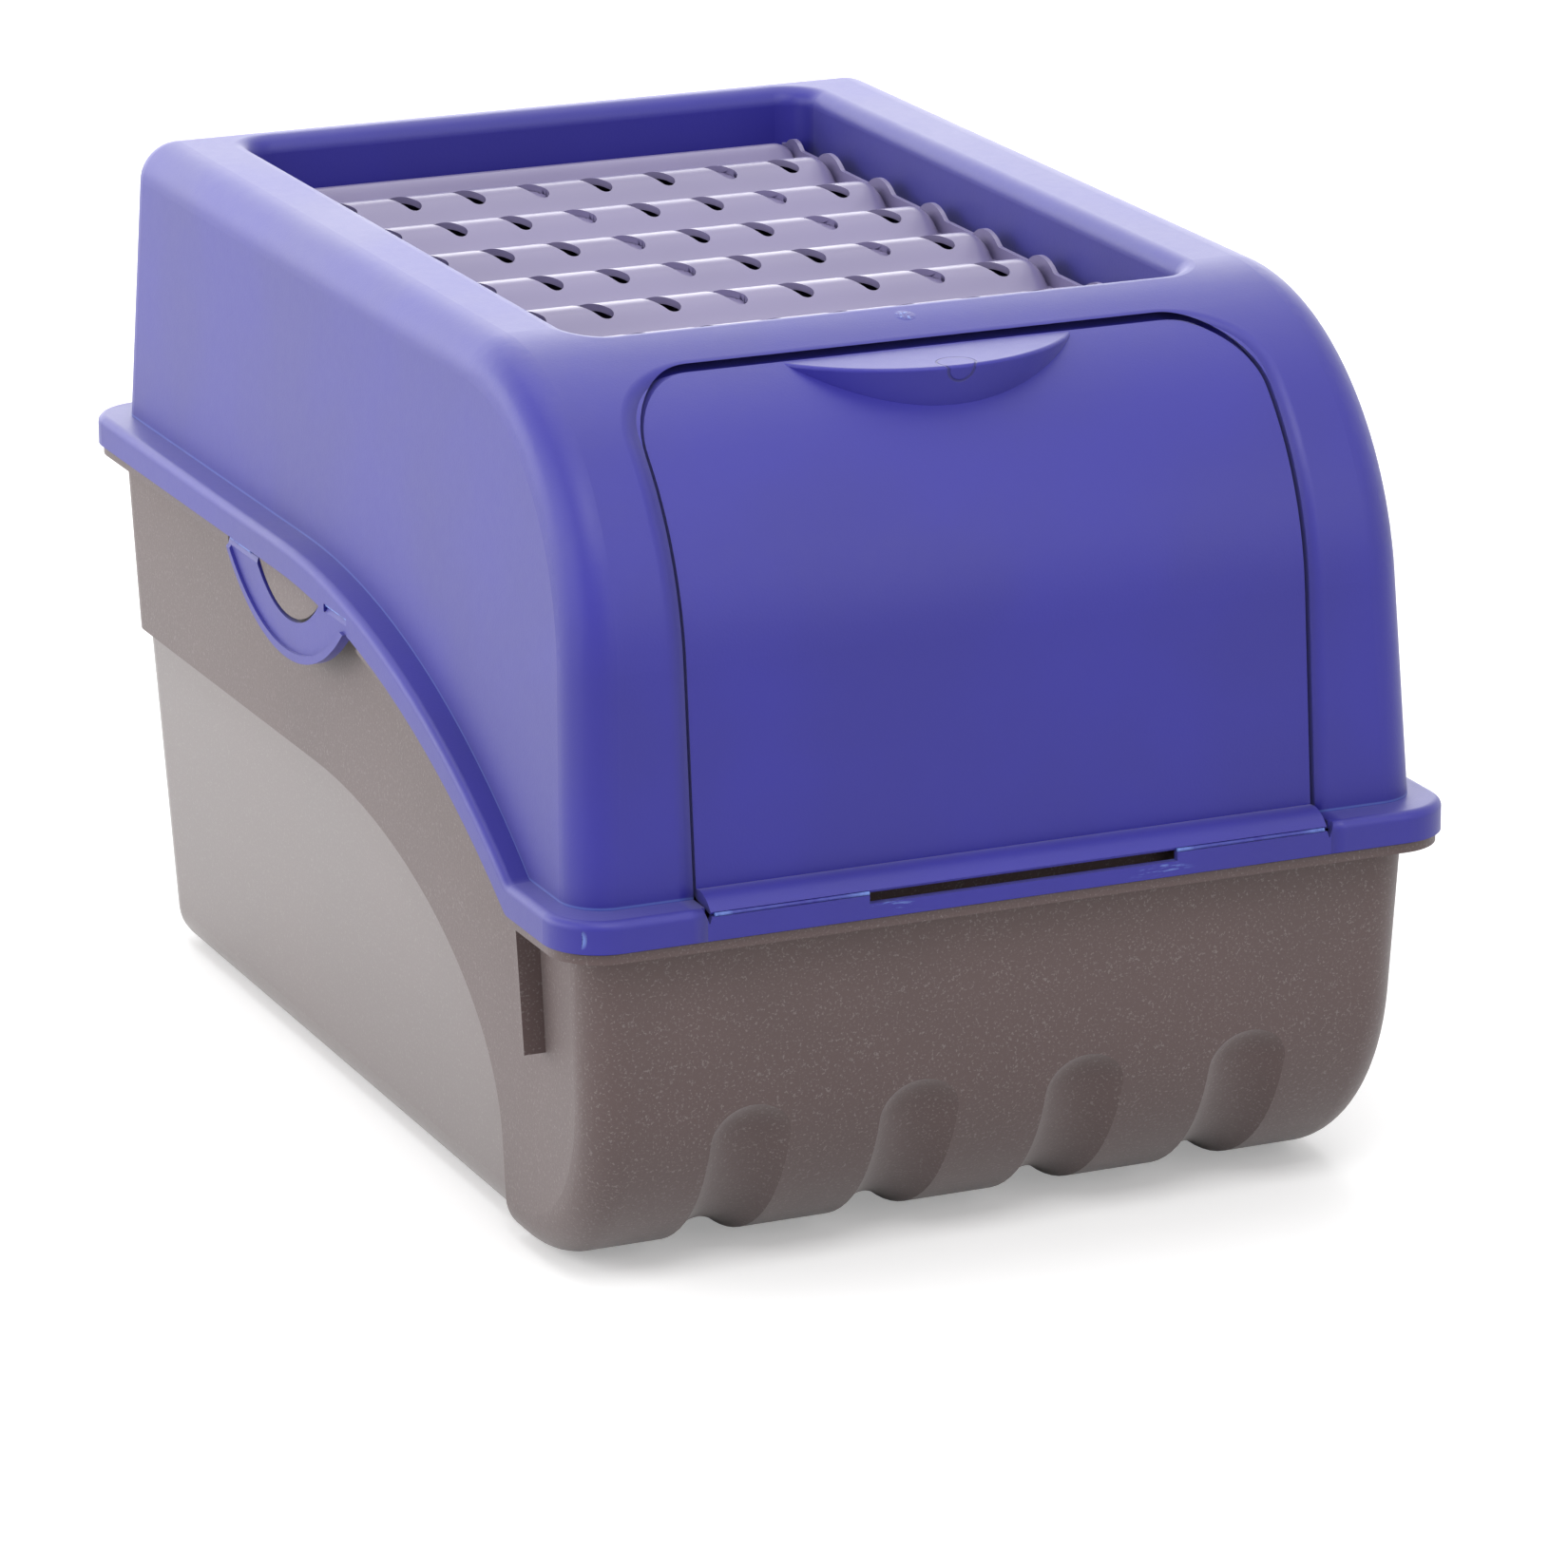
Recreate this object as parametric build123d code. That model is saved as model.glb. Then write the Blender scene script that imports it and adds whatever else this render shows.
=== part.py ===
"""Potato storage bin.

A ribbed tub carries a moulded hood. The hood has a bottom-hinged front flap, a sunken top that
holds a perforated vent tray, and a pull latch on each side that snaps over a boss on the tub.

Frame: origin on the floor under the middle of the bin, X across, the front faces -Y, Z up.
All sizes are in millimetres and degrees.
"""

import os
from math import asin, cos, radians, sin, sqrt, tan

from build123d import *

# ---------------------------------------------------------------- overall and shared sizes
WIDTH = 262.0  # across the closing flange
DEPTH = 382.0  # front to back over the closing flange
HEIGHT = 247.8  # floor to the flat top
WALL = 2.2  # moulded wall of tub and hood
CLEARANCE = 0.3  # between separate pieces that seat on each other
REACH = 600.0  # construction solids run this far, past everything
QUARTER = 90.0  # a quarter turn
SIDE_LEDGE = 7.0  # flange face to the side walls of hood and tub, at the closing line

HALF_WIDTH = WIDTH / 2
FRONT = -DEPTH / 2
BACK = DEPTH / 2

# ---------------------------------------------------------------- closing line, seen from the side
FRONT_RIM_Z = 104.5  # height of the line along the front
REAR_RIM_Z = 155.3  # height of the line along the back
RIM_FOOT = 42.5  # front face to the foot of the rising curve
RIM_FOOT_SLOPE = 33.0  # slope of the curve where it leaves its foot
RIM_FOOT_ROUND = 5.0  # small round at the foot
RIM_RADIUS = (REAR_RIM_Z - FRONT_RIM_Z) / (1 - cos(radians(RIM_FOOT_SLOPE)))
RIM_FOOT_Y = FRONT + RIM_FOOT
RIM_LEVEL_Y = RIM_FOOT_Y + RIM_RADIUS * sin(radians(RIM_FOOT_SLOPE))  # level from here back

FLANGE_HEIGHT = 8.7  # outer face of the hood's flange
FLANGE_CORNER = 16.0  # its corner radius in plan
FLANGE_ROUND = 2.4  # rounded upper edge
LIP_GAP = 0.6  # dark joint between flange and tub lip
LIP_THICKNESS = 2.6  # outward lip of the tub under the flange
LIP_INSET = 1.4  # lip edge inside the flange face

# ---------------------------------------------------------------- hood
HOOD_HALF_WIDTH = HALF_WIDTH - SIDE_LEDGE  # at the front end of the closing line
HOOD_DRAFT = 2.2  # side walls lean in
HOOD_FRONT_LEDGE = 9.6  # flange face to the front wall, at the flange
HOOD_BACK_LEDGE = 8.0  # the same at the back
HOOD_FRONT_LEAN = 5.0
HOOD_BACK_LEAN = 5.0
HOOD_FRONT_RADIUS = 80.0  # big front curve
HOOD_EDGE_ROUND = 12.0  # side walls into front, top and back

# ---------------------------------------------------------------- tub
TUB_HALF_WIDTH = HALF_WIDTH - SIDE_LEDGE  # at the rear end of the closing line
TUB_DRAFT = 2.4  # side walls lean in downwards
TUB_FRONT_LEDGE = 8.5  # flange face to the front wall, at the front rim
TUB_FRONT_LEAN = 3.0
TUB_BACK_LEDGE = 8.0
TUB_BACK_LEAN = 2.0
TUB_FRONT_RADIUS = 61.0  # front rolls under into the floor
TUB_EDGE_ROUND = 12.0
PANEL_STEP = 2.4  # lower side panel lies this far inside the upper band
PANEL_DRAFT = 3.35
PANEL_TOP_Z = 98.8  # level top edge of the lower panel
PANEL_CURVE_DEPTH = 133.0  # half axes of the quarter ellipse that ends the panel in front
PANEL_CURVE_HEIGHT = 70.0
PANEL_FRONT = 78.5  # flange face to the front edge of the panel

FLUTE_COUNT = 4
FLUTE_PITCH = 49.0
FLUTE_RADIUS = 17.0
FLUTE_DEPTH = 4.5
FLUTE_TOP_ANGLE = 17.0  # angle on the front radius where a flute's round end is centred
FLUTE_BACK_MARGIN = 60.0  # back wall to the rear end of the flutes

RIB_SETBACK = RIM_FOOT + 0.5  # flange face to the upright rib on each side
RIB_THICKNESS = 2.0
RIB_BOTTOM_Z = 65.0
RIB_TOP_INSET = 2.6  # flange face to the edge of the rib, at the lip and at its foot
RIB_FOOT_INSET = 4.6

# ---------------------------------------------------------------- sunken top and vent tray
RECESS_HALF_WIDTH = HOOD_HALF_WIDTH - 34.0
RECESS_FRONT = 87.5  # flange face to the front wall of the recess
RECESS_BACK = 32.5  # flange face at the back to its back wall
RECESS_CORNER = 9.0
RECESS_LIP_ROUND = 5.0
RECESS_DEPTH = 22.6  # top to the ledge that carries the tray
RECESS_LEDGE = 17.0  # width of that ledge

TRAY_PLATE = 2.0
TRAY_RIB_PITCH = 36.8
TRAY_FIRST_RIB = 35.5  # back wall of the recess to the first rib
TRAY_RIB_HEIGHT = 7.5
TRAY_RIB_WIDTH = 33.0
TRAY_RIB_TIP = RECESS_HALF_WIDTH - 7.5  # half length of a rib over its round ends
TRAY_FRONT_FLAT = 25.0  # plain strip at least this long in front of the ribs
TRAY_BACK_RIB = 10.0  # back wall of the recess to the plain narrow rib
TRAY_BACK_RIB_WIDTH = 13.0
TRAY_BACK_RIB_HEIGHT = 4.0
TRAY_LIP_RADIUS = 19.5  # scallop round each rib end
TRAY_LIP_HEIGHT = 4.6
TRAY_LIP_WALL = 1.4
VENT_COLUMNS = 8
VENT_PITCH = 20.2
VENT_WIDTH = 6.6
VENT_LENGTH = 16.0
VENT_CORNER = 2.1  # bevelled corners

# ---------------------------------------------------------------- front flap
FLAP_HALF_WIDTH = HOOD_HALF_WIDTH - 34.0
FLAP_TOP_Z = HEIGHT - 7.4
FLAP_CORNER_X = 21.0  # half axes of the elliptic upper corners, seen from the front
FLAP_CORNER_Z = 15.0
FLAP_WALL = 2.2
FLAP_SINK = 0.6  # skin of the flap below the skin of the hood
SEAM_SIDE = 1.1  # gap at the sides of the flap
SEAM_TOP = 1.7  # gap over its top edge
STOP_WIDTH = 6.0  # frame behind the flap's edge
STOP_GAP = 0.5
FLAP_EDGE_ROUND = 0.8

HINGE_RISE = 7.0  # hinge line above the front rim line
HINGE_HALF_LENGTH = FLAP_HALF_WIDTH - 1.0
HINGE_SLOT_HALF = 45.0  # open slot between the two film hinges
SLOT_HEIGHT = 2.4
FILM_RADIUS = 0.5  # film hinges, drawn as thin round webs on their axis
FILM_GAP = 0.12
BEAD_RISE = 4.2  # hinge line up to the crease of the flap
BEAD_CROWN = 1.5
NOTCH_DEPTH = 2.0  # small notch in the flange where each side seam ends
NOTCH_WIDTH = 3.2

GRIP_HALF_WIDTH = 43.0
GRIP_TOP_Z = FLAP_TOP_Z - 0.2
GRIP_REACH = 22.5  # lip of the grip in front of the flap's top edge
GRIP_HEIGHT = 14.0
GRIP_UNDERCUT = 4.5  # front face leans back this much over that height
GRIP_EDGE_ROUND = 0.8

# ---------------------------------------------------------------- side latches
LATCH_Y = RIM_LEVEL_Y - 7.5  # middle of the latch, under the end of the rising curve
LATCH_HALF_LENGTH = 51.0
LATCH_DROP = 23.3
LATCH_PLATE = 2.0
LATCH_FACE = HALF_WIDTH - 0.4  # outer face of its plate
LATCH_RIM_WIDTH = 2.4  # raised bead along its edge
LATCH_RIM_RAISE = 1.0
LATCH_HOLE_HALF = 27.0
LATCH_HOLE_DROP = 12.4
LATCH_GAP = 0.4  # under the flange
TAB_LENGTH = 17.0  # film hinge tabs at both ends
TAB_MARGIN = 3.5
BOSS_GAP = 1.0
BOSS_TOP_SINK = 0.8  # face of the boss inside the latch face, at its top and at its foot
BOSS_FOOT_SINK = 0.3


# ---------------------------------------------------------------- helpers
def side_prism(outline):
    """Extrude a closed side-view outline (Y, Z) right across the bin."""
    return extrude(outline, REACH / 2, both=True)


def below_rim(lift=0.0):
    """Everything under the closing line raised by lift."""
    low = FRONT_RIM_Z + lift
    high = REAR_RIM_Z + lift
    foot = (RIM_FOOT_Y, low)
    half = radians(RIM_FOOT_SLOPE / 2)
    middle = (RIM_LEVEL_Y - RIM_RADIUS * sin(half), high - RIM_RADIUS * (1 - cos(half)))
    with BuildSketch(Plane.YZ) as side:
        with BuildLine():
            Polyline((RIM_LEVEL_Y, high), (REACH, high), (REACH, -REACH), (-REACH, -REACH), (-REACH, low), foot)
            ThreePointArc(foot, middle, (RIM_LEVEL_Y, high))
        make_face()
        corner = side.vertices().sort_by_distance((0, RIM_FOOT_Y, low))[0]
        fillet(corner, RIM_FOOT_ROUND)
    return side_prism(side.sketch)


def rim_band(low, high):
    """Everything between the closing line raised by low and by high."""
    return below_rim(high) - below_rim(low)


def rim_height(y):
    """Height of the closing line at y, its foot round left out."""
    if y <= RIM_FOOT_Y:
        return FRONT_RIM_Z
    if y >= RIM_LEVEL_Y:
        return REAR_RIM_Z
    return REAR_RIM_Z - RIM_RADIUS + sqrt(RIM_RADIUS**2 - (RIM_LEVEL_Y - y) ** 2)


def plan_prism(half_width, front, back, radius):
    """Upright prism with a rounded rectangular plan."""
    plan = Pos(0, (front + back) / 2) * RectangleRounded(2 * half_width, back - front, radius)
    return extrude(plan, REACH / 2, both=True)


def flange_prism(inset=0.0):
    return plan_prism(HALF_WIDTH - inset, FRONT + inset, BACK - inset, FLANGE_CORNER - inset)


def cross_prism(half_width, datum_z, draft):
    """Tapered cross section (X, Z) run front to back; half_width holds at datum_z."""
    slope = tan(radians(draft))
    low = half_width - slope * REACH
    high = half_width + slope * REACH
    section = Plane.XZ * make_face(
        Polyline((-low, datum_z - REACH), (low, datum_z - REACH), (high, datum_z + REACH),
                 (-high, datum_z + REACH), close=True)
    )
    return extrude(section, REACH, both=True)


def round_edges(solid, radius, wanted):
    return fillet([edge for edge in solid.edges() if wanted(edge)], radius)


# ---------------------------------------------------------------- hood form
def hood_front_wall():
    """Foot of the front wall and centre of the big front curve, both (Y, Z)."""
    foot = (FRONT + HOOD_FRONT_LEDGE, FRONT_RIM_Z + FLANGE_HEIGHT)
    centre_z = HEIGHT - HOOD_FRONT_RADIUS
    lean = radians(HOOD_FRONT_LEAN)
    tangent_z = centre_z + HOOD_FRONT_RADIUS * sin(lean)
    tangent_y = foot[0] + (tangent_z - foot[1]) * tan(lean)
    return foot, (tangent_y + HOOD_FRONT_RADIUS * cos(lean), centre_z)


def hood_block(inset=0.0):
    """Solid form of the hood, or that form shrunk by inset on every wall."""
    foot, (centre_y, centre_z) = hood_front_wall()
    lean = radians(HOOD_FRONT_LEAN)
    radius = HOOD_FRONT_RADIUS - inset
    tangent = (centre_y - radius * cos(lean), centre_z + radius * sin(lean))
    half = radians((90 + HOOD_FRONT_LEAN) / 2)
    on_curve = (centre_y - radius * cos(half), centre_z + radius * sin(half))
    top = HEIGHT - inset
    wall_low = (tangent[0] - tangent[1] * tan(lean), 0)
    back_slope = tan(radians(HOOD_BACK_LEAN))
    back_foot = BACK - HOOD_BACK_LEDGE - inset / cos(radians(HOOD_BACK_LEAN))
    back_top = back_foot - back_slope * (top - REAR_RIM_Z - FLANGE_HEIGHT)
    back_low = back_foot + back_slope * (REAR_RIM_Z + FLANGE_HEIGHT)
    with BuildSketch(Plane.YZ) as side:
        with BuildLine():
            ThreePointArc(tangent, on_curve, (centre_y, top))
            Polyline((centre_y, top), (back_top, top), (back_low, 0), wall_low, tangent)
        make_face()
    half_width = HOOD_HALF_WIDTH - inset / cos(radians(HOOD_DRAFT))
    block = side_prism(side.sketch) & cross_prism(half_width, FRONT_RIM_Z + FLANGE_HEIGHT, -HOOD_DRAFT)

    def rounded(edge):
        if edge.center().Z < 1:
            return False
        across = abs(edge.tangent_at(0.5).X) > 0.9
        return not across or edge.center().Y > back_top - 1

    return round_edges(block, HOOD_EDGE_ROUND - inset, rounded)


def door_prism(side=0.0, over=0.0, bottom_z=FRONT_RIM_Z):
    """Front-view outline of the flap, grown at its sides and top, run through the front."""
    half = FLAP_HALF_WIDTH + side
    top = FLAP_TOP_Z + over
    corner_x = FLAP_CORNER_X + side
    corner_z = FLAP_CORNER_Z + over
    with BuildSketch(Plane.XZ) as front:
        with BuildLine():
            Polyline((-half, top - corner_z), (-half, bottom_z), (half, bottom_z), (half, top - corner_z))
            EllipticalCenterArc((half - corner_x, top - corner_z), corner_x, corner_z, 0, arc_size=QUARTER)
            Line((half - corner_x, top), (-half + corner_x, top))
            EllipticalCenterArc((-half + corner_x, top - corner_z), corner_x, corner_z, QUARTER, arc_size=QUARTER)
        make_face()
    return Pos(0, FRONT, 0) * extrude(front.sketch, RECESS_FRONT, both=True)


# ---------------------------------------------------------------- recess and tray places
RECESS_FRONT_Y = FRONT + RECESS_FRONT
RECESS_BACK_Y = BACK - RECESS_BACK
LEDGE_Z = HEIGHT - RECESS_DEPTH


def recess_block(grow=0.0):
    """Pocket in the top with its walls and its floor moved out by grow."""
    plan = plan_prism(
        RECESS_HALF_WIDTH + grow, RECESS_FRONT_Y - grow, RECESS_BACK_Y + grow, RECESS_CORNER + grow
    )
    return plan & Pos(0, 0, LEDGE_Z - grow + REACH / 2) * Box(REACH, REACH, REACH)


def ledge_opening():
    """Hole inside the ledge that carries the tray."""
    opening = plan_prism(
        RECESS_HALF_WIDTH - RECESS_LEDGE,
        RECESS_FRONT_Y + RECESS_LEDGE,
        RECESS_BACK_Y - RECESS_LEDGE,
        RECESS_CORNER,
    )
    return opening & Pos(0, 0, LEDGE_Z) * Box(REACH, REACH, RECESS_DEPTH)


# ---------------------------------------------------------------- hinge line of the flap
HINGE_Y = FRONT + FILM_RADIUS
HINGE_Z = FRONT_RIM_Z + HINGE_RISE
CREASE_Z = HINGE_Z + BEAD_RISE


def front_wall_y(z):
    """Front face of the hood at height z, below its big curve."""
    foot, _ = hood_front_wall()
    return foot[0] + (z - foot[1]) * tan(radians(HOOD_FRONT_LEAN))


def upper_outer_edges(flange):
    """Edges round the top of the flange's outer face."""
    found = []
    for edge in flange.edges():
        middle = edge.center()
        inside = abs(middle.X) < 1 and abs(middle.Y) < BACK - 1
        upright = abs(edge.tangent_at(0.5).Z) > 0.95
        if not inside and not upright and middle.Z > rim_height(middle.Y) + FLANGE_HEIGHT / 2:
            found.append(edge)
    return found


# ---------------------------------------------------------------- latch places
LATCH_AXIS_X = LATCH_FACE - FILM_RADIUS
LATCH_AXIS_Z = REAR_RIM_Z - FILM_RADIUS
LATCH_TABS = (
    (LATCH_Y - LATCH_HALF_LENGTH + TAB_MARGIN, LATCH_Y - LATCH_HALF_LENGTH + TAB_MARGIN + TAB_LENGTH),
    (LATCH_Y + LATCH_HALF_LENGTH - TAB_MARGIN - TAB_LENGTH, LATCH_Y + LATCH_HALF_LENGTH - TAB_MARGIN),
)


def latch_window(start_y, end_y, top_z):
    """Cutter that takes both side rims back behind the latch plates, up to top_z."""
    inner = LATCH_FACE - LATCH_PLATE - CLEARANCE
    middle = Pos(0, (start_y + end_y) / 2, top_z - LATCH_DROP / 2)
    length = end_y - start_y
    return middle * (Box(REACH, length, LATCH_DROP) - Box(2 * inner, length, LATCH_DROP))


def latch_outline(half, drop, low_x, high_x):
    """Circle segment hanging from the closing line, between low_x and high_x."""
    with BuildSketch(Plane.YZ) as side:
        with BuildLine():
            ThreePointArc((-half, 0), (0, -drop), (half, 0))
            Polyline((half, 0), (half, LATCH_PLATE), (-half, LATCH_PLATE), (-half, 0))
        make_face()
    return Pos(low_x, LATCH_Y, REAR_RIM_Z) * extrude(side.sketch, high_x - low_x)


# ---------------------------------------------------------------- hood
def build_hood():
    shell = hood_block() - hood_block(WALL) - below_rim(FLANGE_HEIGHT - WALL)

    flange = flange_prism() & rim_band(0, FLANGE_HEIGHT)
    flange = fillet(upper_outer_edges(flange), FLANGE_ROUND)
    flange -= flange_prism(WALL) & below_rim(FLANGE_HEIGHT - WALL)
    flange -= hood_block(WALL)
    hood = shell + flange

    # sunken top with the ledge that carries the tray
    hood += recess_block(WALL) & hood_block()
    hood = round_edges(hood - recess_block(), RECESS_LIP_ROUND, on_recess_lip)
    hood -= ledge_opening()

    # doorway: a return round the opening and a stop frame behind the flap
    sunk = FLAP_SINK + FLAP_WALL + STOP_GAP
    returns = hood_block(WALL / 2) - hood_block(sunk + WALL)
    returns &= door_prism(SEAM_SIDE + WALL, SEAM_TOP + WALL)
    hood += returns - below_rim(FLANGE_HEIGHT)
    door_space = door_prism(SEAM_SIDE, SEAM_TOP, HINGE_Z - REACH) - hood_block(sunk)
    hood -= door_space - below_rim(HINGE_RISE - FILM_RADIUS)
    hood -= door_prism(-STOP_WIDTH, -STOP_WIDTH, CREASE_Z + STOP_WIDTH)

    # open slot between the film hinges, windows for the hinge tabs of the latches
    slot_middle = Pos(0, FRONT, HINGE_Z - FILM_RADIUS - SLOT_HEIGHT / 2)
    hood -= slot_middle * Box(2 * HINGE_SLOT_HALF, 4 * WALL, SLOT_HEIGHT)
    for start, end in LATCH_TABS:
        hood -= latch_window(start - CLEARANCE, end + CLEARANCE, REAR_RIM_Z)
    return hood - seam_notches()


def seam_notches():
    """V-shaped cuts in the face of the flange below the ends of the side seams."""
    top_z = FRONT_RIM_Z + FLANGE_HEIGHT
    low_z = HINGE_Z - FILM_RADIUS - NOTCH_DEPTH
    cuts = []
    for side in (-1, 1):
        middle = side * (FLAP_HALF_WIDTH + SEAM_SIDE / 2)
        outline = Polyline(
            (middle, low_z), (middle + NOTCH_WIDTH / 2, top_z), (middle - NOTCH_WIDTH / 2, top_z), close=True
        )
        cuts.append(Pos(0, FRONT, 0) * extrude(Plane.XZ * make_face(outline), WALL, both=True))
    return cuts


def on_recess_lip(edge):
    """Upper rim of the sunken top."""
    middle = edge.center()
    inside = abs(middle.X) < RECESS_HALF_WIDTH + 1 and RECESS_FRONT_Y - 1 < middle.Y < RECESS_BACK_Y + 1
    return inside and middle.Z > HEIGHT - 1


# ---------------------------------------------------------------- vent tray
TRAY_TOP_Z = LEDGE_Z + TRAY_PLATE
TRAY_RIB_ROOM = RECESS_BACK_Y - RECESS_FRONT_Y - TRAY_FIRST_RIB - TRAY_FRONT_FLAT
TRAY_RIB_COUNT = 1 + int(TRAY_RIB_ROOM / TRAY_RIB_PITCH)
TRAY_RIB_YS = [RECESS_BACK_Y - TRAY_FIRST_RIB - i * TRAY_RIB_PITCH for i in range(TRAY_RIB_COUNT)]
TRAY_END_X = TRAY_RIB_TIP - TRAY_RIB_WIDTH / 2  # centres of the round rib ends


def rib_radius(width, height):
    return ((width / 2) ** 2 + height**2) / (2 * height)


def rib_form(width, height, y, end_x):
    """Round-backed rib with round ends, width at the plate and height above it."""
    radius = rib_radius(width, height)
    bar = Rot(0, 90, 0) * Cylinder(radius, 2 * end_x)
    for x in (-end_x, end_x):
        bar += Pos(x, 0, 0) * Sphere(radius)
    return Pos(0, y, TRAY_TOP_Z + height - radius) * bar


def rib_hollow(width, height, y, end_x):
    """Straight trough under a rib that leaves its wall as thick as the plate."""
    radius = rib_radius(width, height)
    trough = Rot(0, 90, 0) * Cylinder(radius - TRAY_PLATE, 2 * end_x)
    return Pos(0, y, TRAY_TOP_Z + height - radius) * trough


def tray_outline(shrink=0.0):
    """Plan of the tray: a middle strip with a scallop round each rib end."""
    front = RECESS_FRONT_Y + CLEARANCE
    back = RECESS_BACK_Y - CLEARANCE
    with BuildSketch() as plan:
        with Locations((0, (front + back) / 2)):
            Rectangle(2 * (TRAY_END_X - shrink), back - front)
        with Locations([(x, y) for x in (-TRAY_END_X, TRAY_END_X) for y in TRAY_RIB_YS]):
            Circle(TRAY_LIP_RADIUS - shrink)
    return plan.sketch


def build_tray():
    above_plate = Pos(0, 0, TRAY_TOP_Z + REACH / 2) * Box(REACH, REACH, REACH)
    tray = Pos(0, 0, LEDGE_Z) * extrude(tray_outline(), TRAY_PLATE)
    back_rib_y = RECESS_BACK_Y - TRAY_BACK_RIB
    back_end_x = TRAY_END_X - TRAY_BACK_RIB_WIDTH / 2
    ribs = [(TRAY_RIB_WIDTH, TRAY_RIB_HEIGHT, y, TRAY_END_X) for y in TRAY_RIB_YS]
    ribs.append((TRAY_BACK_RIB_WIDTH, TRAY_BACK_RIB_HEIGHT, back_rib_y, back_end_x))
    for rib in ribs:
        tray += rib_form(*rib) & above_plate
    for rib in ribs[:TRAY_RIB_COUNT]:
        tray -= rib_hollow(*rib)

    # thin upturned lip round the scallops
    lip = extrude(tray_outline() - tray_outline(TRAY_LIP_WALL), TRAY_LIP_HEIGHT)
    clear_of_ribs = Box(2 * TRAY_END_X, REACH, REACH)
    tray += Pos(0, 0, TRAY_TOP_Z) * lip - clear_of_ribs

    # vents across the crests
    outline = Rectangle(VENT_WIDTH, VENT_LENGTH)
    outline = chamfer(outline.vertices(), VENT_CORNER)
    slot = Pos(0, 0, LEDGE_Z) * extrude(outline, 2 * TRAY_RIB_HEIGHT)
    columns = [(i - (VENT_COLUMNS - 1) / 2) * VENT_PITCH for i in range(VENT_COLUMNS)]
    tray -= [Pos(x, y, 0) * slot for x in columns for y in TRAY_RIB_YS]
    return tray


# ---------------------------------------------------------------- front flap
def flap_top():
    """Y of the flap's top edge and the slope angle of its end face."""
    _, (centre_y, centre_z) = hood_front_wall()
    radius = HOOD_FRONT_RADIUS - FLAP_SINK
    angle = asin((FLAP_TOP_Z - centre_z) / radius)
    return centre_y - radius * cos(angle), angle


def behind_flap_top():
    """Everything behind the flap's end face, which stands square to the skin."""
    _, (centre_y, centre_z) = hood_front_wall()
    _, angle = flap_top()
    far = (centre_y - REACH * cos(angle), centre_z + REACH * sin(angle))
    outline = Polyline((centre_y, centre_z), far, (REACH, far[1]), (REACH, centre_z), close=True)
    return side_prism(Plane.YZ * make_face(outline))


def grip_form(inset=0.0):
    """Lens-shaped ledge whose front face leans back under its lip."""
    edge_y, _ = flap_top()
    radius = (GRIP_HALF_WIDTH**2 + GRIP_REACH**2) / (2 * GRIP_REACH)
    back_y = edge_y + WALL
    levels = []
    for level, lean in ((GRIP_TOP_Z - inset, 0.0), (GRIP_TOP_Z - GRIP_HEIGHT, GRIP_UNDERCUT)):
        front_y = edge_y - GRIP_REACH + inset + lean
        centre_y = front_y + radius
        half = sqrt(radius**2 - (centre_y - back_y) ** 2)
        with BuildSketch(Plane.XY.offset(level)) as lens:
            with BuildLine():
                ThreePointArc((-half, back_y), (0, front_y), (half, back_y))
                Line((half, back_y), (-half, back_y))
            make_face()
        levels.append(lens.sketch)
    return loft(levels, ruled=True)


def bead_form():
    """Convex strip from the crease of the flap down to its hinge line."""
    skin = FLAP_SINK / cos(radians(HOOD_FRONT_LEAN))
    inner = (FLAP_SINK + FLAP_WALL) / cos(radians(HOOD_FRONT_LEAN))
    keep = FILM_RADIUS + FILM_GAP
    start = (HINGE_Y + keep / 2, HINGE_Z + keep)
    crease = (front_wall_y(CREASE_Z) + skin, CREASE_Z)
    run = (crease[0] - start[0], crease[1] - start[1])
    bulge = BEAD_CROWN / sqrt(run[0] ** 2 + run[1] ** 2)
    crown = (start[0] + run[0] / 2 - bulge * run[1], start[1] + run[1] / 2 + bulge * run[0])
    with BuildSketch(Plane.YZ) as side:
        with BuildLine():
            ThreePointArc(start, crown, crease)
            Polyline(
                crease,
                (front_wall_y(CREASE_Z) + inner, CREASE_Z),
                (front_wall_y(CREASE_Z) + inner, CREASE_Z - FLAP_WALL),
                (HINGE_Y + keep + FILM_GAP, HINGE_Z - FILM_GAP),
                start,
            )
        make_face()
    return extrude(side.sketch, FLAP_HALF_WIDTH, both=True)


def build_flap():
    panel = hood_block(FLAP_SINK) - hood_block(FLAP_SINK + FLAP_WALL)
    panel = panel & door_prism(bottom_z=CREASE_Z)
    flap = panel + bead_form()
    grip = round_edges(grip_form(), GRIP_EDGE_ROUND, on_grip_lip)
    flap += grip - hood_block(FLAP_SINK + FLAP_WALL / 2)
    flap -= grip_form(WALL)
    return flap - behind_flap_top()


def on_grip_lip(edge):
    """Curved upper edge of the grip."""
    curved = edge.geom_type == GeomType.CIRCLE
    return curved and edge.center().Z > GRIP_TOP_Z - 1


def build_film(length, middle, along):
    film = Cylinder(FILM_RADIUS, length, rotation=along)
    return Pos(*middle) * film


# ---------------------------------------------------------------- tub
PANEL_HALF_WIDTH = TUB_HALF_WIDTH - PANEL_STEP - (REAR_RIM_Z - PANEL_TOP_Z) * tan(radians(TUB_DRAFT))
TUB_TANGENT_Z = TUB_FRONT_RADIUS * (1 - sin(radians(TUB_FRONT_LEAN)))
TUB_CURVE_Y = (
    FRONT
    + TUB_FRONT_LEDGE
    + (FRONT_RIM_Z - TUB_TANGENT_Z) * tan(radians(TUB_FRONT_LEAN))
    + TUB_FRONT_RADIUS * cos(radians(TUB_FRONT_LEAN))
)


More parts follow.
